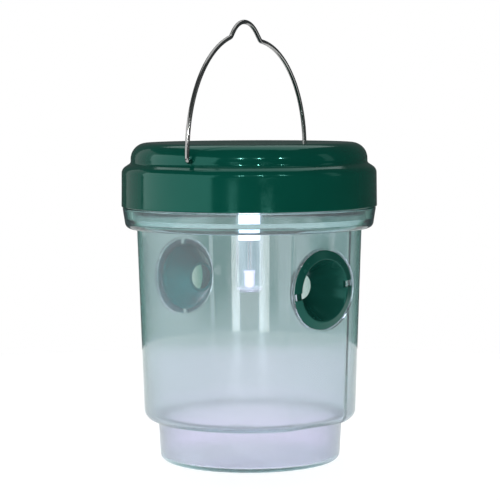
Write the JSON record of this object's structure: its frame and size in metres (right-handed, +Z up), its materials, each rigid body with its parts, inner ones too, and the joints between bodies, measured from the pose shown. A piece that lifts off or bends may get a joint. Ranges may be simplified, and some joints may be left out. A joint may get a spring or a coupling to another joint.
{
  "type": "wasp trap",
  "caption": "Hanging insect trap: clear stepped jar with funnel entries, twist-off green lid carrying a solar lamp, and a wire bail with a hanging hump.",
  "frame": {"origin": "centre of the foot's underside, where the trap stands on a table", "axes": "+Z up along the jar; the front entry funnel faces -Y and the rear one +Y; with the lid locked the bail's pivots lie on X"},
  "size_m": [0.1268, 0.1268, 0.2184],
  "materials": {
    "clear_plastic": "clear, glossy",
    "lamp_clear_plastic": "clear, glossy",
    "green_plastic": "glossy dark green",
    "funnel_plastic": "glossy dark green",
    "seal_rubber": "matte black",
    "steel_wire": "drawn wire",
    "housing_plastic": "dark green, fine texture",
    "white_plastic": "white",
    "led_epoxy": "clear epoxy, lit violet",
    "tinned_wire": "tinned",
    "screw_steel": "zinc plated",
    "board_laminate": "green laminate",
    "component_black": "moulded black",
    "battery_sleeve": "printed sleeve without lettering",
    "contact_metal": "nickel plated",
    "switch_black": "black",
    "solar_silicon": "dark blue-black cell under resin",
    "foam_tape": "black foam",
    "window_plastic": "clear, glossy",
    "adhesive": "dark adhesive",
    "wire_insulation": "soft insulation"
  },
  "bodies": {
    "jar": {"jar": "clear_plastic"},
    "funnel_front": {"entry_funnel_front": "funnel_plastic"},
    "funnel_rear": {"entry_funnel_rear": "funnel_plastic"},
    "seal": {"lid_seal": "seal_rubber"},
    "lid": {"lid": "green_plastic", "lamp_housing": "housing_plastic", "housing_screws": "screw_steel", "lamp_tube": "lamp_clear_plastic", "lamp_socket": "white_plastic", "led_lamp": "led_epoxy", "led_leads": "tinned_wire", "circuit_board": "board_laminate", "board_screws": "screw_steel", "board_components": "component_black", "battery_cell": "battery_sleeve", "battery_contact_plate": "contact_metal", "battery_contact_spring": "contact_metal", "battery_door": "housing_plastic", "battery_door_screw": "screw_steel", "switch_body": "component_black", "solar_cell_pad": "foam_tape", "solar_cell": "solar_silicon", "window_gasket": "adhesive", "solar_window": "window_plastic", "solar_wires": "wire_insulation", "lamp_wires": "wire_insulation", "battery_wires": "wire_insulation"},
    "bail": {"bail_handle": "steel_wire"},
    "switch": {"switch_slider": "switch_black"}
  },
  "joints": [
    {"name": "funnel_front_turn", "type": "hinge", "parent": "jar", "child": "funnel_front", "pos_m": [0, -0.0515, 0.088], "axis": [0, -0.9993, -0.0375], "continuous": true},
    {"name": "funnel_rear_turn", "type": "hinge", "parent": "jar", "child": "funnel_rear", "pos_m": [0, 0.0515, 0.088], "axis": [0, 0.9993, -0.0375], "continuous": true},
    {"name": "lid_lift", "type": "slide", "parent": "jar", "child": "seal", "axis": [0, 0, 1], "range_m": [0, 0.08]},
    {"name": "lid_turn", "type": "hinge", "parent": "seal", "child": "lid", "pos_m": [0, 0, 0.1263], "axis": [0, 0, 1], "range_deg": [-20, 0]},
    {"name": "bail_swing", "type": "hinge", "parent": "lid", "child": "bail", "pos_m": [0, 0, 0.15], "axis": [0.9397, 0.342, 0], "range_deg": [-88.2, 91.8]},
    {"name": "switch_slide", "type": "slide", "parent": "lid", "child": "switch", "axis": [0.9397, 0.342, 0], "range_m": [0, 0.002]}
  ]
}
